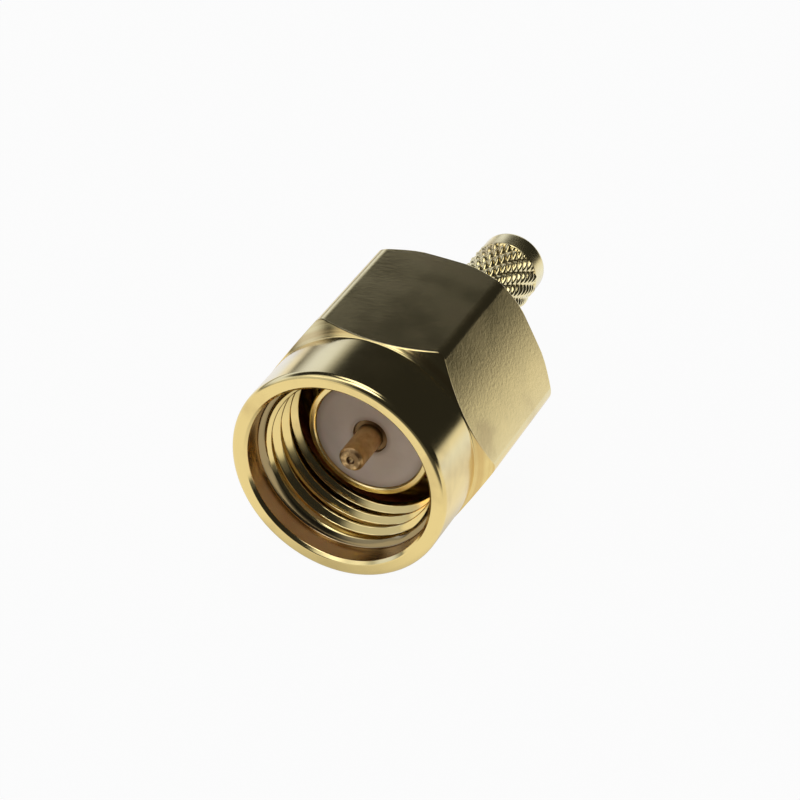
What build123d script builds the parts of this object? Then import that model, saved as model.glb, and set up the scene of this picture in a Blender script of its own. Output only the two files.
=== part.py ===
from build123d import *
import math
import os

os.makedirs("parts", exist_ok=True)

# Coaxial plug with a hexagonal screw coupling and a knurled crimp stem.
# Millimetres. The axis is Y: the mating side faces -Y, the cable side +Y, and
# the plug lies on one hexagon flat, so +Z is up. The origin is on the axis in
# the mating reference plane, which is the front of the outer conductor.
# Stations along the axis are counted from the nut's front face.

# Standard interface sizes
REFERENCE = 2.64            # nut's front face to the reference plane
THREAD_MAJOR_D = 6.35       # 1/4-36 coupling thread
THREAD_DEPTH = 0.215        # its crests are bored to 5.92
SHELL_D = 4.59              # outer conductor, outside
SHELL_WALL = 0.24
SHELL_LENGTH = 1.98         # reference plane to the gasket's hub
CONTACT_D = 1.27            # centre contact inside the insulator
PIN_D = 0.92                # centre contact in front of the insulator

# Coupling nut
NUT_WALL = 0.825            # from the thread's major diameter to a flat
CORNER_ROUND = 0.45
COLLAR_STEP = 0.03          # from the flats down to the round collar
COLLAR_END = 2.53
NUT_LENGTH = 8.6
REAR_CHAMFER = 0.53
RIM_ROUND = 0.28
MOUTH_STEP = 0.195          # smooth mouth, outside the thread's major diameter
MOUTH_CHAMFER = 0.12
MOUTH_DEPTH = 0.9
THREAD_LEAD = 0.2           # length of the cone from the mouth to the thread's crests
THREAD_END = 3.25
RELIEF_GAP = 0.45           # round the gasket
RELIEF_OVERRUN = 0.3        # behind the barrel's front face

# Body
HUB_STEP = 0.165            # hub that carries the gasket, outside the outer conductor
HUB_LENGTH = 0.48
BARREL_STEP = 0.405         # barrel's front face, outside the outer conductor
BARREL_PROUD = 0.8          # behind the nut
BARREL_CHAMFER = 0.2
SHELL_CHAMFER = 0.08
SHELL_BEVEL = 0.04          # round the bore's front edge
INSULATOR_LENGTH = 3.98
INSULATOR_RECESS = 0.08
CAVITY_D = 2.9              # air space round the contact's solder cup
CAVITY_WALL = 0.8           # behind the cavity
CABLE_BORE_D = 1.70
STEM_LENGTH = 6.27          # behind the barrel
STEM_BAND = 0.92            # plain band at the stem's end
STEM_BAND_STEP = 0.04       # below the knurl's crests
STEM_ROUND = 0.4
KNURL_D = 2.62              # over the diamonds' crests
KNURL_DEPTH = 0.13
KNURL_STARTS = 14           # grooves of each hand
KNURL_CELL = 1.04           # length of one diamond
KNURL_LAND = 0.35           # share of a diamond that keeps the turned surface
KNURL_TURN = 9.3            # degrees, from +X towards +Z

# Retaining ring, in a groove of the body and a groove of the nut
RING_IN_BODY = 0.22         # ring's reach into the barrel
RING_IN_NUT = 0.32          # ring's reach into the nut
RING_SETBACK = 1.27         # ring's front to the nut's rear face
RING_WIDTH = 0.5
RING_SIDE_GAP = 0.03        # to each groove wall that it can touch
RING_TOP_GAP = 0.07         # to the floor of the nut's groove
RING_FLOOR_GAP = 0.23       # to the floor of the body's groove
RING_SPLIT = 1.2
NUT_PLAY = 0.4              # along the axis
NUT_RUNNING_GAP = 0.06      # between the barrel and the nut's rear bore

# Gasket, on the hub and against the barrel
GASKET_WALL = 0.34
GASKET_WIDTH = 0.6

# Centre contact
SHOULDER_RECESS = 0.16      # contact's shoulder, behind the reference plane
PIN_LENGTH = 1.70
TIP_D = 0.70
TIP_TAPER = 0.12
DIMPLE_D = 0.30
DIMPLE_DEPTH = 0.25
BARB_STEP = 0.085           # barb's edge, outside the contact
BARB_LENGTH = 0.6
BARB_DEPTH = 2.0            # from the shoulder to the barb
CONTACT_GAP = 0.2           # behind the contact, inside the cavity
CUP_D = 0.55
CUP_DEPTH = 2.0
SIGHT_HOLE_D = 0.40
SIGHT_HOLE_DEPTH = 1.45     # from the contact's rear end

# Sizes that follow from the ones above
DIELECTRIC_D = SHELL_D - 2 * SHELL_WALL
ACROSS_FLATS = THREAD_MAJOR_D + 2 * NUT_WALL
HUB_D = SHELL_D + 2 * HUB_STEP
HUB_START = REFERENCE + SHELL_LENGTH
GASKET_D = HUB_D + 2 * GASKET_WALL
BARREL_D = SHELL_D + 2 * BARREL_STEP
BARREL_START = HUB_START + HUB_LENGTH
BARREL_END = NUT_LENGTH + BARREL_PROUD
STEM_END = BARREL_END + STEM_LENGTH
CAVITY_END = BARREL_END - CAVITY_WALL
INSULATOR_START = REFERENCE + INSULATOR_RECESS
INSULATOR_END = INSULATOR_START + INSULATOR_LENGTH
CONTACT_SHOULDER = REFERENCE + SHOULDER_RECESS
CONTACT_END = CAVITY_END - CONTACT_GAP
REAR_BORE_D = BARREL_D + 2 * NUT_RUNNING_GAP
RING_START = NUT_LENGTH - RING_SETBACK
RING_END = RING_START + RING_WIDTH
RING_INNER_D = BARREL_D - 2 * RING_IN_BODY
RING_OUTER_D = REAR_BORE_D + 2 * RING_IN_NUT


def station(z):
    """Y of a station counted from the nut's front face."""
    return z - REFERENCE


def turned(profile):
    """Solid of revolution from (radius, station) points."""
    points = [(radius, station(z)) for radius, z in profile]
    return revolve(make_face(Polyline(*points, close=True)), axis=Axis.Y)


def tube(outer_d, inner_d, start, end):
    """Plain ring between two stations."""
    inner, outer = inner_d / 2, outer_d / 2
    return turned([(inner, start), (outer, start), (outer, end), (inner, end)])


def circles(part, diameter, z):
    """Circular edges of one diameter at one station."""
    def here(edge):
        same_size = abs(edge.radius - diameter / 2) < 1e-3
        return same_size and abs(edge.arc_center.Y - station(z)) < 1e-3
    return part.edges().filter_by(GeomType.CIRCLE).filter_by(here)


def contact_profile():
    """Outside of the centre contact behind its shoulder."""
    body = CONTACT_D / 2
    barb_start = CONTACT_SHOULDER + BARB_DEPTH
    barb_end = barb_start + BARB_LENGTH
    return [
        (body, CONTACT_SHOULDER),
        (body, barb_start),
        (body + BARB_STEP, barb_end),
        (body, barb_end),
        (body, CONTACT_END),
    ]


def coupling_nut():
    flat = ACROSS_FLATS / 2
    collar = flat - COLLAR_STEP
    corner = flat / math.cos(math.pi / 6)
    rear = corner - REAR_CHAMFER
    hexagon = RegularPolygon(flat, 6, major_radius=False)
    hexagon = fillet(hexagon.vertices(), CORNER_ROUND)
    start = Plane.XZ.offset(-station(0))
    prism = extrude(start * hexagon, amount=-NUT_LENGTH)
    outside = turned([
        (0, 0),
        (collar, 0),
        (collar, COLLAR_END),
        (corner, COLLAR_END + corner - collar),
        (corner, NUT_LENGTH - REAR_CHAMFER),
        (rear, NUT_LENGTH),
        (0, NUT_LENGTH),
    ])
    outside = fillet(circles(outside, 2 * collar, 0), RIM_ROUND)
    thread_root = THREAD_MAJOR_D / 2
    thread = thread_root - THREAD_DEPTH
    mouth = thread_root + MOUTH_STEP
    relief = GASKET_D / 2 + RELIEF_GAP
    relief_end = BARREL_START + RELIEF_OVERRUN
    rear_bore = REAR_BORE_D / 2
    groove = RING_OUTER_D / 2 + RING_TOP_GAP
    groove_start = RING_START - RING_SIDE_GAP
    groove_end = RING_END + RING_SIDE_GAP
    inside = turned([
        (0, 0),
        (mouth + MOUTH_CHAMFER, 0),
        (mouth, MOUTH_CHAMFER),
        (mouth, MOUTH_DEPTH),
        (thread, MOUTH_DEPTH + THREAD_LEAD),
        (thread, THREAD_END),
        (relief, THREAD_END),
        (relief, relief_end),
        (rear_bore, relief_end),
        (rear_bore, groove_start),
        (groove, groove_start),
        (groove, groove_end),
        (rear_bore, groove_end),
        (rear_bore, NUT_LENGTH),
        (0, NUT_LENGTH),
    ])
    return (prism & outside) - inside


def retaining_ring():
    ring = tube(RING_OUTER_D, RING_INNER_D, RING_START, RING_END)
    middle = station((RING_START + RING_END) / 2)
    gap = Box(RING_SPLIT, 2 * RING_WIDTH, RING_OUTER_D)
    return ring - Pos(0, middle, RING_OUTER_D / 2) * gap


def sealing_gasket():
    return tube(GASKET_D, HUB_D, BARREL_START - GASKET_WIDTH, BARREL_START)


def knurl(start, cells):
    """Diamond knurl: whole diamonds from a station on, each a pyramid with its top cut off."""
    crest = KNURL_D / 2
    root = crest - KNURL_DEPTH
    land = KNURL_LAND
    last = 2 * cells

    def point(radius, turn, row):
        """Point of the pattern: turn and row count half diamonds round and along."""
        angle = math.radians(KNURL_TURN + turn * 180 / KNURL_STARTS)
        along = station(start + row * KNURL_CELL / 2)
        return Vector(radius * math.cos(angle), along, radius * math.sin(angle))

    def face(*corners):
        return Face(Wire.make_polygon(corners))

    faces = []
    for row in range(last + 1):
        for turn in range(row % 2, 2 * KNURL_STARTS, 2):
            left = point(root, turn - 1, row)
            right = point(root, turn + 1, row)
            top_left = point(crest, turn - land, row)
            top_right = point(crest, turn + land, row)
            for way in (1, -1):
                if not 0 <= row + way <= last:
                    continue
                tip = point(root, turn, row + way)
                top_tip = point(crest, turn, row + way * land)
                faces.append(face(top_left, top_right, top_tip))
                faces.append(face(top_right, right, tip))
                faces.append(face(top_right, tip, top_tip))
                faces.append(face(top_left, top_tip, tip))
                faces.append(face(top_left, tip, left))
    for row in (0, last):
        rim = []
        for turn in range(row % 2, 2 * KNURL_STARTS, 2):
            rim.append(point(root, turn - 1, row))
            rim.append(point(crest, turn - land, row))
            rim.append(point(crest, turn + land, row))
        faces.append(face(*rim))
    return Solid(Shell(faces))


def connector_body():
    shell, barrel = SHELL_D / 2, BARREL_D / 2
    bore, cable_bore = DIELECTRIC_D / 2, CABLE_BORE_D / 2
    floor = RING_INNER_D / 2 - RING_FLOOR_GAP
    neck = KNURL_D / 2 - KNURL_DEPTH
    hub = HUB_D / 2
    groove_start = RING_START - RING_SIDE_GAP
    groove_end = RING_END + RING_SIDE_GAP + NUT_PLAY
    knurl_end = STEM_END - STEM_BAND
    cells = int((knurl_end - BARREL_END) / KNURL_CELL)
    knurl_start = knurl_end - cells * KNURL_CELL
    front = turned([
        (0, REFERENCE),
        (shell - SHELL_CHAMFER, REFERENCE),
        (shell, REFERENCE + SHELL_CHAMFER),
        (shell, HUB_START),
        (hub, HUB_START),
        (hub, BARREL_START),
        (barrel, BARREL_START),
        (barrel, groove_start),
        (floor, groove_start),
        (floor, groove_end),
        (barrel, groove_end),
        (barrel, BARREL_END - BARREL_CHAMFER),
        (barrel - BARREL_CHAMFER, BARREL_END),
        (neck, BARREL_END),
        (neck, knurl_start),
        (0, knurl_start),
    ])
    band_d = KNURL_D - 2 * STEM_BAND_STEP
    band = tube(band_d, 0, knurl_end, STEM_END)
    band = fillet(circles(band, band_d, STEM_END), STEM_ROUND)
    outside = front + knurl(knurl_start, cells) + band
    inside = turned([
        (0, REFERENCE),
        (bore + SHELL_BEVEL, REFERENCE),
        (bore, REFERENCE + SHELL_BEVEL),
        (bore, INSULATOR_END),
        (CAVITY_D / 2, INSULATOR_END),
        (CAVITY_D / 2, CAVITY_END),
        (cable_bore, CAVITY_END),
        (cable_bore, STEM_END),
        (0, STEM_END),
    ])
    return outside - inside


def insulator():
    body = tube(DIELECTRIC_D, 0, INSULATOR_START, INSULATOR_END)
    mouth = [(0, REFERENCE), (CONTACT_D / 2, REFERENCE)]
    return body - turned(mouth + contact_profile() + [(0, CONTACT_END)])


def centre_contact():
    pin, dimple, cup = PIN_D / 2, DIMPLE_D / 2, CUP_D / 2
    pin_end = CONTACT_SHOULDER - PIN_LENGTH
    body = turned([
        (0, pin_end + DIMPLE_DEPTH),
        (dimple, pin_end),
        (TIP_D / 2, pin_end),
        (pin, pin_end + TIP_TAPER),
        (pin, CONTACT_SHOULDER),
    ] + contact_profile() + [
        (cup, CONTACT_END),
        (cup, CONTACT_END - CUP_DEPTH),
        (0, CONTACT_END - CUP_DEPTH),
    ])
    depth = CONTACT_D / 2
    hole = Cylinder(SIGHT_HOLE_D / 2, depth, align=(Align.CENTER, Align.CENTER, Align.MIN))
    return body - Pos(0, station(CONTACT_END - SIGHT_HOLE_DEPTH), 0) * hole


export_step(coupling_nut(), "parts/coupling_nut.step")
export_step(retaining_ring(), "parts/retaining_ring.step")
export_step(sealing_gasket(), "parts/sealing_gasket.step")
export_step(connector_body(), "parts/connector_body.step")
export_step(insulator(), "parts/insulator.step")
export_step(centre_contact(), "parts/centre_contact.step")
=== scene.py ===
import math

import bpy
import numpy as np
from mathutils import Matrix, Vector


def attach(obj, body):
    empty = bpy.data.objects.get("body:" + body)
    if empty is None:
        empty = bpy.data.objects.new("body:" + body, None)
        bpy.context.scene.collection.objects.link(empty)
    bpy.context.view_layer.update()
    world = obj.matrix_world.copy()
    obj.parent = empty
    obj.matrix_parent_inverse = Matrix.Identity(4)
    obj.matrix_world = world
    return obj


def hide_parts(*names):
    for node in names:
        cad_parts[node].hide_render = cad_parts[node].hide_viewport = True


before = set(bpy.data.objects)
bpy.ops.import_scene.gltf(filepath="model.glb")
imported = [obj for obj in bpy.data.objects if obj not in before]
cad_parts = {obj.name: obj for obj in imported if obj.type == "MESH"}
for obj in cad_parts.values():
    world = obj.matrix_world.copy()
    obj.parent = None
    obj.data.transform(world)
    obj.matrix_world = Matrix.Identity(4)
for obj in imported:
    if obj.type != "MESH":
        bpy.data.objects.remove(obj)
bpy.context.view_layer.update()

# Outer conductor and barrel: one turned brass piece with bright gold plate.
# Its thin front edge is the mating face, a hub behind it carries the gasket,
# and a groove in the barrel takes the ring that holds the nut.
MM = 0.001
REFERENCE = 2.64            # nut's front face to the mating reference plane
GUARD = 0.02                # first row of a straight, next to an arc
CUT_SHARE, GUARD_SHARE = 0.45, 0.04     # of the shorter straight, the most they take
TINY = 1e-9
SHELL_R, LIP_ROUND, LIP_TAPER = 2.295, 0.04, 0.06
BORE_R, SHELL_BEVEL = 2.055, 0.04
HUB_R, HUB_START = 2.46, 4.62
BARREL_R, BARREL_START, BARREL_END = 2.70, 5.10, 9.40
BARREL_CHAMFER = 0.2
GROOVE_R, GROOVE_START, GROOVE_END = 2.25, 7.30, 8.26
CAVITY_R, CAVITY_START, CAVITY_END = 1.45, 6.70, 8.60
CABLE_R = 0.85
BODY_GOLD = (0.90, 0.73, 0.35)


def around(count):
    """Evenly spaced angles of a full turn, from +Z towards +X."""
    return np.linspace(0, 2 * math.pi, count, endpoint=False)


def rounded(profile, turns, closed=True, steps=5):
    """Rows of a turned surface from corners (radius, station, rounding) in mm.

    Each corner is cut back to an arc between its two tangent points. The arc is the weighted
    quadratic with the corner as its handle, which is circular for a weight of the sine of
    half the corner's angle. A guard row next to each arc keeps the straights' shading flat.
    """
    radius, station, arc = ([np.broadcast_to(c[i], turns.shape) for c in profile] for i in range(3))
    corner = np.stack([np.array(radius), np.array(station)], -1).astype(float)
    arc = np.array(arc, float)[..., None]
    back = np.roll(corner, 1, 0) - corner
    ahead = np.roll(corner, -1, 0) - corner
    back_length = np.linalg.norm(back, axis=-1, keepdims=True) + TINY
    ahead_length = np.linalg.norm(ahead, axis=-1, keepdims=True) + TINY
    back, ahead = back / back_length, ahead / ahead_length
    room = np.minimum(back_length, ahead_length)
    half = np.arccos(np.clip((back * ahead).sum(-1, keepdims=True), -1, 1)) / 2
    cut = np.minimum(arc / np.tan(np.maximum(half, 1e-3)), CUT_SHARE * room)
    guard = np.minimum(GUARD, GUARD_SHARE * room)
    weight = np.sin(half)
    rows = []
    for i in range(len(profile)):
        if not closed and i in (0, len(profile) - 1):
            rows.append(corner[i])
            continue
        rows.append(corner[i] + back[i] * (cut[i] + guard[i]))
        for s in np.linspace(0, 1, steps + 1):
            first, handle, last = (1 - s) ** 2, 2 * weight[i] * s * (1 - s), s ** 2
            start = corner[i] + back[i] * cut[i]
            end = corner[i] + ahead[i] * cut[i]
            rows.append((first * start + handle * corner[i] + last * end) / (first + handle + last))
        rows.append(corner[i] + ahead[i] * (cut[i] + guard[i]))
    return np.array(rows)


def placed(rows, turns):
    """Points of rows (radius, station) round the connector's axis, in metres.

    x = radius sin turn, y = station - reference, z = radius cos turn.
    """
    radius, station = rows[..., 0], rows[..., 1]
    return np.stack([radius * np.sin(turns), station - REFERENCE, radius * np.cos(turns)], -1) * MM


def quads(index):
    """Faces between the neighbouring rows and columns of a grid of point numbers."""
    corners = [index[:-1, :-1], index[:-1, 1:], index[1:, 1:], index[1:, :-1]]
    return np.stack(corners, -1).reshape(-1, 4).tolist()


def piece_of(name, points, faces, smooth=False):
    """Object at the origin, from points in metres and faces that list their numbers."""
    mesh = bpy.data.meshes.new(name)
    mesh.from_pydata(points, [], faces)
    mesh.polygons.foreach_set("use_smooth", np.full(len(mesh.polygons), smooth))
    mesh.update()
    piece = bpy.data.objects.new(name, mesh)
    bpy.context.scene.collection.objects.link(piece)
    return piece


def turned(name, rows, turns, closed=True):
    """Smooth piece of rows (radius, station) all round the connector's axis.

    The rows run outwards, to the rear and back inside, so faces point out. Where they aren't
    a closed loop, they start and end on the axis, and each end is one point.
    """
    place = placed(rows, turns)
    if not closed:
        poles = place[[0, -1], 0]
        place = place[1:-1]
    count, columns = place.shape[:2]
    index = np.arange(count * columns).reshape(count, columns)
    if closed:
        index = np.vstack([index, index[:1]])
    faces = quads(np.hstack([index, index[:, :1]]))
    points = place.reshape(-1, 3)
    if not closed:
        front, rear = len(points), len(points) + 1
        points = np.vstack([points, poles])
        faces += [(front, b, a) for a, b in zip(index[0], np.roll(index[0], -1))]
        faces += [(rear, a, b) for a, b in zip(index[-1], np.roll(index[-1], -1))]
    return piece_of(name, points.tolist(), faces, smooth=True)


MIX_FIRST, MIX_SECOND, MIX_RESULT = 6, 7, 2     # colour sockets of a Mix node


class Field:
    """A socket of a shader tree: sums and products of it add Math nodes, make() any other node."""

    def __init__(self, tree, socket=None):
        self.tree = tree
        self.socket = socket

    def make(self, kind, settings=None, inputs=None, output=0):
        """Add a node of one type, with its settings first and then its inputs' values or links."""
        node = self.tree.nodes.new("ShaderNode" + kind)
        for name, value in (settings or {}).items():
            setattr(node, name, value)
        for name, value in (inputs or {}).items():
            if isinstance(value, Field):
                self.tree.links.new(value.socket, node.inputs[name])
            else:
                node.inputs[name].default_value = value
        return Field(self.tree, node.outputs[output])

    def math(self, operation, *values):
        return self.make("Math", {"operation": operation}, dict(enumerate((self, *values))))

    def __add__(self, other):
        return self.math("ADD", other)

    def __sub__(self, other):
        return self.math("SUBTRACT", other)

    def __mul__(self, other):
        return self.math("MULTIPLY", other)

    def __truediv__(self, other):
        return self.math("DIVIDE", other)

    def __pow__(self, other):
        return self.math("POWER", other)

    def __rsub__(self, other):
        return self.make("Math", {"operation": "SUBTRACT"}, {0: other, 1: self})

    def __rtruediv__(self, other):
        return self.make("Math", {"operation": "DIVIDE"}, {0: other, 1: self})

    __radd__ = __add__
    __rmul__ = __mul__

    def ramp(self, low, high, start=0.0, end=1.0):
        """Smooth step from start to end while the value goes from low to high."""
        inputs = {"Value": self, "From Min": low, "From Max": high, "To Min": start, "To Max": end}
        return self.make("MapRange", {"interpolation_type": "SMOOTHSTEP"}, inputs)

    def mix(self, first, second):
        """Colour mix, with this value as the share of the second colour."""
        colours = [c if isinstance(c, Field) else (*c, 1) for c in (first, second)]
        inputs = {"Factor": self, MIX_FIRST: colours[0], MIX_SECOND: colours[1]}
        return self.make("Mix", {"data_type": "RGBA"}, inputs, MIX_RESULT)

    def noise(self, where, scale, detail=2.0, roughness=0.5):
        inputs = {"Vector": where, "Scale": scale, "Detail": detail, "Roughness": roughness}
        return self.make("TexNoise", None, inputs)

    def split(self, where):
        return [self.make("SeparateXYZ", None, {0: where}, i) for i in range(3)]

    def joined(self, x, y, z):
        return self.make("CombineXYZ", None, {0: x, 1: y, 2: z})


def finish(name, steady):
    """Material with a Principled shader. steady holds the sockets that are the same all over."""
    material = bpy.data.materials.new(name)
    material.use_nodes = True
    shader = material.node_tree.nodes["Principled BSDF"]
    for socket, value in steady.items():
        shader.inputs[socket].default_value = value
    field = Field(material.node_tree)
    where = field.make("TexCoord", output="Object")
    return material, shader, field, where


def lathe_place(field, where):
    """Distance from the axis and distance behind the mating reference plane, both in mm."""
    x, y, z = field.split(where)
    return (x * x + z * z) ** 0.5 / MM, y / MM


def feed(shader, field, **links):
    """Link the fields that vary over the surface to the shader's sockets."""
    for name, value in links.items():
        field.tree.links.new(value.socket, shader.inputs[name.replace("_", " ")])


def bumped(field, parts):
    """Chain of Bump nodes from (height, depth in mm) pairs."""
    normal = None
    for height, depth in parts:
        inputs = {"Strength": 1.0, "Distance": depth * MM, "Height": height}
        if normal is not None:
            inputs["Normal"] = normal
        normal = field.make("Bump", None, inputs)
    return normal


def gold_plate(name, colour, dull, polish):
    """Bright gold over turned brass: tool rings, cloudy polish, fine pits and darker stains."""
    material, shader, field, where = finish(name, {"Metallic": 1.0})
    radius, along = lathe_place(field, where)
    cloud = field.noise(where, 420, 3, 0.6)
    speck = field.noise(where, 5200, 2, 0.6)
    grain = field.noise(field.joined(radius * 16, along * 16, 0), 1, 2, 0.7)
    stain = cloud.ramp(0.50, 0.72)
    pit = speck.ramp(0.60, 0.74)
    tone = (stain * 0.35).mix(colour, dull)
    tone = (pit * 0.15).mix(tone, dull)
    rough = cloud.ramp(0.3, 0.7, polish * 0.8, polish * 1.35) + pit * 0.05
    normal = bumped(field, [(grain, 0.0006), (speck, 0.0005)])
    feed(shader, field, Base_Color=tone, Roughness=rough, Normal=normal)
    return material


def dress(piece, material, body, slot, *nodes):
    piece.data.materials.append(material)
    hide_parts(*nodes)
    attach(piece, body)


body_gold = gold_plate("gold plate on the body", BODY_GOLD, (0.42, 0.28, 0.12), 0.17)
turns = around(220)
shell_rows = rounded([
    (BORE_R + SHELL_BEVEL, REFERENCE, 0.015),
    (SHELL_R - LIP_ROUND, REFERENCE, LIP_ROUND),
    (SHELL_R, REFERENCE + LIP_TAPER, LIP_TAPER),
    (SHELL_R, HUB_START, 0.03),
    (HUB_R, HUB_START, 0.03),
    (HUB_R, BARREL_START, 0.03),
    (BARREL_R, BARREL_START, 0.05),
    (BARREL_R, GROOVE_START, 0.02),
    (GROOVE_R, GROOVE_START, 0.03),
    (GROOVE_R, GROOVE_END, 0.03),
    (BARREL_R, GROOVE_END, 0.02),
    (BARREL_R, BARREL_END - BARREL_CHAMFER, 0.08),
    (BARREL_R - BARREL_CHAMFER, BARREL_END, 0.08),
    (CABLE_R, BARREL_END, 0.01),
    (CABLE_R, CAVITY_END, 0.02),
    (CAVITY_R, CAVITY_END, 0.02),
    (CAVITY_R, CAVITY_START, 0.02),
    (BORE_R, CAVITY_START, 0.02),
    (BORE_R, REFERENCE + SHELL_BEVEL, 0.02),
], turns)
shell = turned("outer_conductor", shell_rows, turns)
dress(shell, body_gold, "body", "body_gold", "connector_body")

# Crimp stem: the rear end of the same piece, bored for the cable's core and
# rolled with a slanted diamond knurl that grips the cable's braid. A plain,
# rounded band is left at its very end.
STEM_END = 15.67
BAND_START, BAND_R, BAND_EDGE, BAND_ROUND = 14.75, 1.27, 0.02, 0.4
KNURL_START, KNURL_R, KNURL_DEPTH = 9.55, 1.31, 0.12
KNURL_TURN, KNURL_STEP = math.radians(6.43), 0.26
KNURL_SWELL = 0.8           # power of the sine: the lower, the fuller the bumps
SEAM = 0.01                 # from the last row of one stretch to the first of the next
# Painted light: the stem carries the body's gold plate, coloured lighter here, with lighter stains.
STEM_GOLD = (1.0, 0.83, 0.40)


def knurled(turns, stations):
    """Rows of the knurl: crest radius less two crossing sets of slanted grooves.

    In half-cell steps a round and b along, the one set lies where (a - b) / 4 + 1/2 is whole and
    the other where (a + b) / 2 is whole. Between its grooves each set swells as a root of the
    sine of its phase, and the bumps are the product of the two swells.
    """
    round_steps = turns / KNURL_TURN
    along_steps = stations[:, None] / KNURL_STEP
    rows = abs(np.sin(math.pi * ((round_steps - along_steps) / 4 + 0.5)))
    bumps = abs(np.sin(math.pi * (round_steps + along_steps) / 2))
    swell = rows ** KNURL_SWELL * bumps ** KNURL_SWELL
    radius = KNURL_R - KNURL_DEPTH * (1 - swell)
    return np.stack([radius, np.broadcast_to(stations[:, None], radius.shape)], -1)


turns = around(448)
neck_rows = rounded([
    (CABLE_R, BARREL_END, 0),
    (KNURL_R - KNURL_DEPTH, BARREL_END, 0.005),
    (KNURL_R - KNURL_DEPTH, KNURL_START, 0),
], turns, closed=False)
knurl_rows = knurled(turns, np.linspace(KNURL_START + SEAM, BAND_START - SEAM, 120))
band_rows = rounded([
    (BAND_R - BAND_EDGE, BAND_START, 0),
    (BAND_R, BAND_START + BAND_EDGE * 1.5, BAND_EDGE),
    (BAND_R, STEM_END, BAND_ROUND),
    (CABLE_R, STEM_END, 0.04),
    (CABLE_R, (STEM_END + BARREL_END) / 2, 0),
], turns, closed=False, steps=8)
stem = turned("crimp_stem", np.concatenate([neck_rows, knurl_rows, band_rows]), turns)
# A lighter copy of the body's gold plate: painted light.
stem_gold = gold_plate("gold plate on the stem", STEM_GOLD, (0.62, 0.42, 0.20), 0.23)
dress(stem, stem_gold, "body", "body_gold", "connector_body")

# Insulator: a white fluoropolymer cylinder, faced on a lathe and pressed into
# the outer conductor's bore.
INSULATOR_START, INSULATOR_END = 2.72, 6.70
CONTACT_R, SHOULDER = 0.635, 2.80
BARB_R, BARB_START, BARB_END = 0.72, 4.80, 5.40
# The insulator's colour is darker next to the bore's wall and round the pin: painted shade.
EDGE_SHADE_WIDTH = 0.3               # width of the darker edge next to the metal
PTFE = (0.88, 0.76, 0.69)

turns = around(160)
insulator_rows = rounded([
    (CONTACT_R, INSULATOR_START, 0.02),
    (BORE_R, INSULATOR_START, 0.04),
    (BORE_R, INSULATOR_END, 0.04),
    (CONTACT_R, INSULATOR_END, 0.01),
    (CONTACT_R, BARB_END, 0.01),
    (BARB_R, BARB_END, 0.01),
    (CONTACT_R, BARB_START, 0.01),
], turns)
insulator = turned("insulator_plug", insulator_rows, turns)
steady = {"Metallic": 0.0, "Subsurface Weight": 0.15, "Subsurface Scale": 0.4 * MM}
ptfe, shader, field, where = finish("fluoropolymer", steady)
radius = lathe_place(field, where)[0]
rings = field.noise(field.joined(radius * 9, 0, 0), 1, 2, 0.6)
mottle = field.noise(where, 900, 3, 0.6)
# Painted shade: the face darkens towards the shell's wall and towards the pin.
edge = radius.ramp(BORE_R - EDGE_SHADE_WIDTH, BORE_R) + radius.ramp(CONTACT_R, CONTACT_R + 0.7 * EDGE_SHADE_WIDTH, 1, 0)
tone = (mottle.ramp(0.4, 0.7) * 0.2).mix(PTFE, (0.66, 0.54, 0.48))
tone = (edge * 0.5).mix(tone, (0.40, 0.28, 0.21))
normal = bumped(field, [(rings, 0.004), (mottle, 0.006)])
feed(shader, field, Base_Color=tone, Roughness=mottle.ramp(0.3, 0.7, 0.38, 0.55), Normal=normal)
dress(insulator, ptfe, "body", "insulator_ptfe", "insulator")

# Centre contact: turned copper alloy under a duller gold plate. The pin has a
# chamfered tip with the lathe's centre dimple, and a barb behind the shoulder
# bites into the insulator. A cup at the rear takes the cable's core.
PIN_R, PIN_END = 0.46, 1.10
TIP_R, TIP_TAPER = 0.35, 0.12
DIMPLE_R, DIMPLE_DEPTH = 0.15, 0.25
CONTACT_END, CUP_R, CUP_DEPTH = 8.40, 0.275, 2.0
CONTACT_GOLD = (0.92, 0.65, 0.33)

turns = around(120)
contact_rows = rounded([
    (0, PIN_END + DIMPLE_DEPTH, 0),
    (DIMPLE_R, PIN_END, 0.04),
    (TIP_R, PIN_END, 0.04),
    (PIN_R, PIN_END + TIP_TAPER, 0.08),
    (PIN_R, SHOULDER, 0.02),
    (CONTACT_R, SHOULDER, 0.03),
    (CONTACT_R, BARB_START, 0.01),
    (BARB_R, BARB_END, 0.01),
    (CONTACT_R, BARB_END, 0.01),
    (CONTACT_R, CONTACT_END, 0.04),
    (CUP_R, CONTACT_END, 0.02),
    (CUP_R, CONTACT_END - CUP_DEPTH, 0.02),
    (0, CONTACT_END - CUP_DEPTH, 0),
], turns, closed=False)
contact = turned("centre_pin", contact_rows, turns, closed=False)
contact_gold, shader, field, where = finish("dull gold on the contact", {"Metallic": 1.0})
radius, along = lathe_place(field, where)
cloud = field.noise(where, 2500, 3, 0.6)
grain = field.noise(field.joined(radius * 12, along * 12, 0), 1, 2, 0.7)
# Painted shade: behind the mating plane, on the pin's base and its recessed shoulder, the colour
# turns almost black.
shoulder = along.ramp(-0.1, 0.1)
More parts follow.
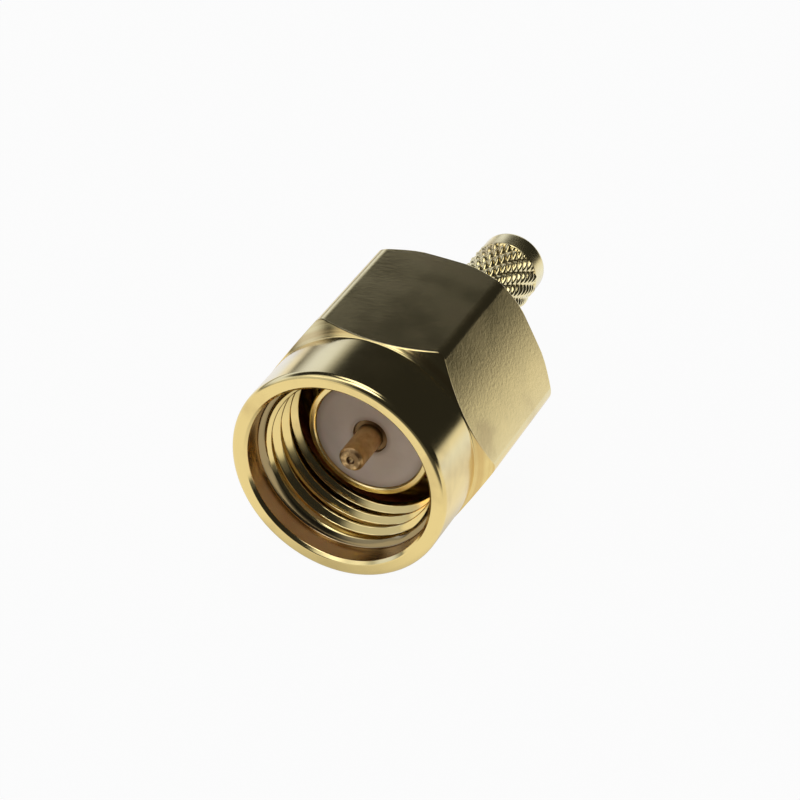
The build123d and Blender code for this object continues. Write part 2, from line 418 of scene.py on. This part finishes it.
# Painted shade on the tip's face: patchy, and darkest in and round the centre dimple.
patchy_tip_shade = cloud.ramp(0.42, 0.58, 0.25, 0.75) + radius.ramp(DIMPLE_R - 0.03, DIMPLE_R + 0.02, 0.6, 0)
tip = (along - (PIN_END - REFERENCE)).ramp(0.04, 0.16, 1, 0) * patchy_tip_shade
tone = cloud.ramp(0.35, 0.75, 0.0, 0.5).mix(CONTACT_GOLD, (0.52, 0.31, 0.13))
tone = (shoulder * 0.85 + tip).math("MINIMUM", 1).mix(tone, (0.12, 0.065, 0.03))
rough = cloud.ramp(0.3, 0.7, 0.40, 0.52)
feed(shader, field, Base_Color=tone, Roughness=rough, Normal=bumped(field, [(grain, 0.002)]))
dress(contact, contact_gold, "body", "contact_gold", "centre_contact")

# Gasket: a moulded silicone ring that sits on the hub, against the barrel. The
# front of the jack squeezes it when the nut is done up.
GASKET_R, GASKET_START = 2.80, 4.50

turns = around(160)
gasket_rows = rounded([
    (HUB_R, GASKET_START, 0.06),
    (GASKET_R, GASKET_START, 0.12),
    (GASKET_R, BARREL_START, 0.12),
    (HUB_R, BARREL_START, 0.03),
], turns)
gasket = turned("gasket_ring", gasket_rows, turns)
silicone, shader, field, where = finish("silicone rubber", {"Metallic": 0.0})
powder = field.noise(where, 2500, 3, 0.6)
tone = powder.mix((0.42, 0.08, 0.05), (0.55, 0.16, 0.11))
feed(shader, field, Base_Color=tone, Roughness=powder.ramp(0.3, 0.7, 0.55, 0.75),
     Normal=bumped(field, [(powder, 0.004)]))
dress(gasket, silicone, "body", "gasket_silicone", "sealing_gasket")

# Retaining ring: a split ring of spring bronze, sprung into the barrel's groove
# and then into the nut's. It carries the nut along the barrel.
RING_IN, RING_OUT = 2.48, 3.08
RING_START, RING_WIDTH = 7.33, 0.5
RING_SPLIT = 1.2


def split_ring(name, columns):
    """Ring of square section, swept from one side of its split to the other and capped.

    Each column's turn runs from the split's half angle to a full turn less that angle.
    """
    middle = (RING_IN + RING_OUT) / 2
    half = math.asin(RING_SPLIT / 2 / middle)
    turns = np.linspace(half, 2 * math.pi - half, columns)
    section = rounded([
        (RING_IN, RING_START, 0.03),
        (RING_OUT, RING_START, 0.03),
        (RING_OUT, RING_START + RING_WIDTH, 0.03),
        (RING_IN, RING_START + RING_WIDTH, 0.03),
    ], turns)
    index = np.arange(len(section) * columns).reshape(-1, columns)
    ends = [index[:, 0].tolist(), index[::-1, -1].tolist()]
    faces = quads(np.vstack([index, index[:1]])) + ends
    return piece_of(name, placed(section, turns).reshape(-1, 3).tolist(), faces)


ring = split_ring("snap_ring", 121)
bronze, shader, field, where = finish("spring bronze", {"Metallic": 1.0})
drawn = field.noise(where, 1500, 3, 0.6)
tone = drawn.mix((0.66, 0.46, 0.24), (0.46, 0.29, 0.14))
feed(shader, field, Base_Color=tone, Roughness=drawn.ramp(0.3, 0.7, 0.28, 0.42),
     Normal=bumped(field, [(drawn, 0.002)]))
dress(ring, bronze, "ring", "ring_bronze", "retaining_ring")

# Coupling nut: hexagonal brass bar, turned to a round collar and a 45-degree
# shoulder in front, threaded inside, chamfered at the rear and gold plated.
HEX_R, HEX_ROUND = 4.0, 0.45
HEX_SEAM = 0.004            # angle from a corner's arc to the first column of a flat
CROWN_R = 50.0              # the polished flats are very slightly crowned
COLLAR_R, COLLAR_END = 3.97, 2.53
NUT_LENGTH, REAR_CHAMFER, REAR_EDGE = 8.6, 0.53, 0.05
RIM_ROUND = 0.28
MOUTH_R, MOUTH_DEPTH, MOUTH_CHAMFER = 3.37, 0.9, 0.12
THREAD_R, THREAD_DEPTH, THREAD_PITCH, THREAD_END = 2.96, 0.25, 25.4 / 36, 3.25
THREAD_SLOPE = 1 / math.tan(math.pi / 6)    # of a flank, radius over station
THREAD_CREST = 0.05         # crest's width
THREAD_START = 0.96         # first groove's station at the top
LEDGE_R, LEDGE_END, LEDGE_RISE = 3.10, 0.98, 0.5
RELIEF_R, RELIEF_END = 3.25, 5.40
REAR_BORE_R, RING_GROOVE_R = 2.76, 3.15
RING_GROOVE_START, RING_GROOVE_END = 7.30, 7.86
NUT_GOLD = (0.90, 0.73, 0.34)


def corner_circle():
    """How far a corner's small circle lies from the axis, and its half angle seen from there.

    The circle touches the two crowned flats from inside, so its centre lies one crown radius
    less its own radius from the centre of each crown.
    """
    crown = CROWN_R - HEX_R
    middle = math.sqrt((CROWN_R - HEX_ROUND) ** 2 - (crown / 2) ** 2) - crown * math.cos(math.pi / 6)
    tilt = math.atan2(middle / 2, middle * math.cos(math.pi / 6) + crown)
    touch = math.atan2(CROWN_R * math.sin(tilt), CROWN_R * math.cos(tilt) - crown)
    return middle, math.pi / 6 - touch


def hexagon_turns(per_flat, per_corner):
    """Angles of a turn that crowd at the six corners, which lie 30 degrees off the top flat."""
    tangent = corner_circle()[1]
    arc = np.linspace(-tangent, tangent, per_corner)
    flat = np.linspace(tangent + HEX_SEAM, math.pi / 3 - tangent - HEX_SEAM, per_flat)
    sector = np.concatenate([arc, flat])
    corners = math.pi / 6 + np.arange(6) * math.pi / 3
    return (corners[:, None] + sector).ravel()


def hexagon_radius(turns):
    """Distance from the axis to the rounded hexagon.

    On a flat the ray from the axis leaves the crown's large circle, whose centre lies beyond
    the axis, and near a corner it leaves the corner's small circle.
    """
    off = turns % (math.pi / 3) - math.pi / 6
    middle, tangent = corner_circle()
    crown = HEX_R - CROWN_R
    across = math.pi / 6 - abs(off)
    flat = crown * np.cos(across) + np.sqrt(CROWN_R ** 2 - (crown * np.sin(across)) ** 2)
    under = np.maximum(HEX_ROUND ** 2 - (middle * np.sin(off)) ** 2, 0)
    arc = middle * np.cos(off) + np.sqrt(under)
    return np.where(abs(off) < tangent, arc, flat)


def softly(value, reach=0.014):
    """The value where positive, else zero, with the bend between them spread over the reach."""
    return (value + np.sqrt(value ** 2 + reach ** 2)) / 2


def thread_rows(turns, stations):
    """Rows of the right-hand inside thread.

    The groove's middle moves one pitch along in each turn. Its depth grows with the flank's
    slope from the crest's edge, up to the full depth. Behind the ledge the depth starts as the
    ledge's own and is held between two straight lines, one falling and one rising.
    """
    along = (stations[:, None] - THREAD_START) / THREAD_PITCH - turns / (2 * math.pi)
    away = abs((along + 0.5) % 1 - 0.5) * THREAD_PITCH
    depth = softly(((THREAD_PITCH - THREAD_CREST) / 2 - away) * THREAD_SLOPE)
    depth = THREAD_DEPTH - softly(THREAD_DEPTH - depth)
    lead = LEDGE_R - THREAD_R - (stations[:, None] - LEDGE_END)
    depth = lead + softly(depth - lead)
    reach = LEDGE_R - THREAD_R + (stations[:, None] - LEDGE_END) * LEDGE_RISE
    depth = reach - softly(reach - depth)
    radius = THREAD_R + np.clip(depth, 0, THREAD_DEPTH)
    return np.stack([radius, np.broadcast_to(stations[:, None], radius.shape)], -1)


turns = hexagon_turns(44, 9)
hex_r = hexagon_radius(turns)
hex_corner = HEX_R / math.cos(math.pi / 6)
rear_r = hex_corner - REAR_CHAMFER
chamfer_start = np.minimum(NUT_LENGTH - REAR_CHAMFER + hex_corner - hex_r, NUT_LENGTH - REAR_EDGE)
outside_rows = rounded([
    (LEDGE_R, LEDGE_END, 0),
    (MOUTH_R, MOUTH_DEPTH, 0.07),
    (MOUTH_R, MOUTH_CHAMFER, 0.06),
    (MOUTH_R + MOUTH_CHAMFER, 0, 0.06),
    (COLLAR_R, 0, RIM_ROUND),
    (COLLAR_R, COLLAR_END, 0.05),
    (hex_r, COLLAR_END + hex_r - COLLAR_R, 0.06),
    (hex_r, chamfer_start, 0.06),
    (np.minimum(hex_r, rear_r), NUT_LENGTH, 0.06),
    (REAR_BORE_R, NUT_LENGTH, 0.03),
    (REAR_BORE_R, RING_GROOVE_END, 0.02),
    (RING_GROOVE_R, RING_GROOVE_END, 0.02),
    (RING_GROOVE_R, RING_GROOVE_START, 0.02),
    (REAR_BORE_R, RING_GROOVE_START, 0.02),
    (REAR_BORE_R, RELIEF_END, 0.03),
    (RELIEF_R, RELIEF_END, 0.04),
    (RELIEF_R, THREAD_END, 0.04),
    (THREAD_R, THREAD_END, 0),
], turns, closed=False)
inside_rows = thread_rows(turns, np.linspace(THREAD_END - SEAM, LEDGE_END + SEAM, 150))
nut = turned("coupling_nut_skin", np.concatenate([outside_rows, inside_rows]), turns)
nut_gold, shader, field, where = finish("gold plate on the nut", {"Metallic": 1.0})
radius, along = lathe_place(field, where)
station = along + REFERENCE
off_cone = (radius - station - (COLLAR_R - COLLAR_END)).math("ABSOLUTE")
cone = off_cone.ramp(0.02, 0.04, 1, 0) * station.ramp(COLLAR_END, COLLAR_END + 0.03)
flats = radius.ramp(COLLAR_R - 0.07, COLLAR_R - 0.01) * station.ramp(COLLAR_END, COLLAR_END + 0.04)
flats = flats * (1 - cone)
bore = radius.ramp(MOUTH_R + 0.01, MOUTH_R + 0.05, 1, 0)
bore = bore * station.ramp(MOUTH_CHAMFER - 0.04, MOUTH_CHAMFER + 0.02)
mouth = bore * station.ramp(MOUTH_DEPTH - 0.02, MOUTH_DEPTH + 0.02, 1, 0)
cloud = field.noise(where, 420, 3, 0.6)
grit = field.noise(where, 7000, 3, 0.65)
grain = field.noise(field.joined(radius * 16, along * 16, 0), 1, 2, 0.7)
x, y, z = field.split(where)
scratch = field.noise(field.joined(x * 300, y * 9000, z * 300), 1, 2, 0.6)
ridges = field.noise(field.joined(radius * 4.5, 0, 0), 1, 2, 0.7)
tone = (cloud.ramp(0.50, 0.72) * 0.3).mix(NUT_GOLD, (0.45, 0.30, 0.14))
# Besides the cone's darker turning marks, the whole bore is coloured a little darker: slight painted
# shade inside.
tone = (cone * ridges.ramp(0.35, 0.65, 0.0, 0.7) + bore * 0.05).mix(tone, (0.70, 0.49, 0.20))
# Painted shade: the mouth's wall is coloured a darker, browner gold.
tone = (mouth * 0.75).mix(tone, (0.74, 0.47, 0.24))
# Painted shade: the narrow ledge behind the mouth is coloured nearly black.
ledge = bore * station.ramp(MOUTH_DEPTH - 0.04, MOUTH_DEPTH)
ledge = ledge * station.ramp(LEDGE_END, LEDGE_END + 0.03, 1, 0)
tone = (ledge * 0.75).mix(tone, (0.20, 0.15, 0.10))
rough = cloud.ramp(0.3, 0.7, 0.10, 0.16) + flats * 0.06 + mouth * 0.10 + grit.ramp(0.55, 0.75) * 0.03
normal = bumped(field, [
    (grain, 0.0006),
    (ridges * cone, 0.008),
    (grit * flats, 0.0028),
    (scratch * flats, 0.0006),
])
feed(shader, field, Base_Color=tone, Roughness=rough, Normal=normal)
dress(nut, nut_gold, "nut", "nut_gold", "coupling_nut")

# Floor: a white sheet under the plug, which keeps the plug's shadow. The metal
# mirrors it bright near the plug and dimmer outwards, cooler behind the plug and
# dark on the camera's side.
FLOOR_Z, FLOOR_SIZE = -HEX_R * MM, 2.0
CAMERA_SIDE = (0.39, -0.92)     # unit way on the floor from the plug to the camera

corners = [(-FLOOR_SIZE, -FLOOR_SIZE), (FLOOR_SIZE, -FLOOR_SIZE)]
corners += [(FLOOR_SIZE, FLOOR_SIZE), (-FLOOR_SIZE, FLOOR_SIZE)]
floor = piece_of("floor", [(x, y, FLOOR_Z) for x, y in corners], [(0, 1, 2, 3)])
paper = bpy.data.materials.new("white paper")
paper.use_nodes = True
tree = paper.node_tree
tree.nodes.remove(tree.nodes["Principled BSDF"])
field = Field(tree)
x, y, z = field.split(field.make("TexCoord", output="Object"))
distance = (x * x + y * y) ** 0.5
camera_side = (x * CAMERA_SIDE[0] + y * CAMERA_SIDE[1]) / (distance + 0.0001)
shaded = camera_side.ramp(0.70, 0.85) * distance.ramp(0.013, 0.022)
# The floor's glow, which the metal and the matt parts see, is painted light: a pool round the plug
# that fades outwards, with a painted shadow right under the plug.
lit = distance.ramp(0.03, 0.30, 0.97, 0.28) * distance.ramp(0.002, 0.006, 0.6, 1)
lit = lit * (1 - shaded * 0.95)
behind = y.ramp(0.0, 0.02) * distance.ramp(0.015, 0.06, 1, 0.25)
camera_ray = field.make("LightPath", output="Is Camera Ray")
glossy_ray = field.make("LightPath", output="Is Glossy Ray")
clear_ray = field.make("LightPath", output="Is Transmission Ray")
soft_ray = field.make("LightPath", output="Is Diffuse Ray")
matt = field.make("BsdfDiffuse", None, {"Color": (0.84, 0.83, 0.81, 1)})
glow = field.make("Emission", None, {"Color": (1, 1, 1, 1), "Strength": 1.0})
daylight = behind.mix((1, 0.96, 0.86), (0.95, 1.05, 1.38))
pale = field.make("Emission", None, {"Color": daylight, "Strength": lit})
seen = field.make("MixShader", None, {0: camera_ray * 0.95, 1: matt, 2: glow})
in_metal = (glossy_ray + clear_ray) * 0.88 + soft_ray * 0.75
mirrored = field.make("MixShader", None, {0: in_metal, 1: seen, 2: pale})
tree.links.new(mirrored.socket, tree.nodes["Material Output"].inputs["Surface"])
floor.data.materials.append(paper)

# Room: dim, with a wide pale window low on the left and five smaller soft lamps.
# The flats and the collar show the dark between the lamps, and the edges and the
# cone catch the lamps themselves. The camera sees plain white.
LAMPS = [                   # azimuth, elevation, inner and outer angle, strength
    (-136, 43, 9, 24, 0.85),
    (-138, 12, 16, 29, 0.60),
    (-20, 74, 12, 22, 2.0),
    (180, 66, 9, 16, 3.0),
    (-158, 50, 7, 17, 0.8),
]

world = bpy.data.worlds.new("room")
bpy.context.scene.world = world
world.use_nodes = True
tree = world.node_tree
tree.nodes.clear()
field = Field(tree)
look = field.make("TexCoord", output="Generated")


def toward(azimuth, elevation):
    """Unit vector; azimuth from +Y towards +X, both in degrees."""
    a, e = math.radians(azimuth), math.radians(elevation)
    return (math.sin(a) * math.cos(e), math.cos(a) * math.cos(e), math.sin(e))


def glow_spot(azimuth, elevation, inner, outer):
    """One inside the inner angle of a direction, zero outside the outer angle."""
    inputs = {0: look, 1: toward(azimuth, elevation)}
    facing = field.make("VectorMath", {"operation": "DOT_PRODUCT"}, inputs, "Value")
    return facing.ramp(math.cos(math.radians(outer)), math.cos(math.radians(inner)))


height = field.split(look)[2]
window = glow_spot(-62, 10, 42, 66) * height.ramp(-0.06, 0.21) * (1 - height.ramp(0.32, 0.50))
level = 0.022 + window * 0.92
for azimuth, elevation, inner, outer, strength in LAMPS:
    level = level + glow_spot(azimuth, elevation, inner, outer) * strength
tint = window.mix((0.95, 0.97, 1.0), (0.84, 0.94, 1.28))
white = field.make("Background", None, {"Color": (1, 1, 1, 1), "Strength": 1.0})
room = field.make("Background", None, {"Color": tint, "Strength": level})
camera_ray = field.make("LightPath", output="Is Camera Ray")
sky = field.make("MixShader", None, {0: camera_ray, 1: room, 2: white})
tree.links.new(sky.socket, field.tree.nodes.new("ShaderNodeOutputWorld").inputs["Surface"])

# Camera: above the mating side and to its right, as the plug lies in the picture,
# with its place, turn and lens fitted to the edges of the hexagon and the mouth.
EYE = Vector((31.36, -74.46, 57.08)) * MM
FORWARD = Vector((-0.311, 0.764, -0.566)).normalized()
RIGHT = Vector((0.910, 0.411, 0.054))
RIGHT = (RIGHT - FORWARD * RIGHT.dot(FORWARD)).normalized()
UP = RIGHT.cross(FORWARD)
camera = bpy.data.cameras.new("camera")
camera.lens = 130.1
camera.sensor_width = 36
camera.clip_start = 0.002
camera.clip_end = 20
eye = bpy.data.objects.new("camera", camera)
bpy.context.scene.collection.objects.link(eye)
eye.matrix_world = Matrix.Translation(EYE) @ Matrix((RIGHT, UP, -FORWARD)).transposed().to_4x4()
bpy.context.scene.camera = eye
bpy.context.scene.view_settings.view_transform = "Standard"
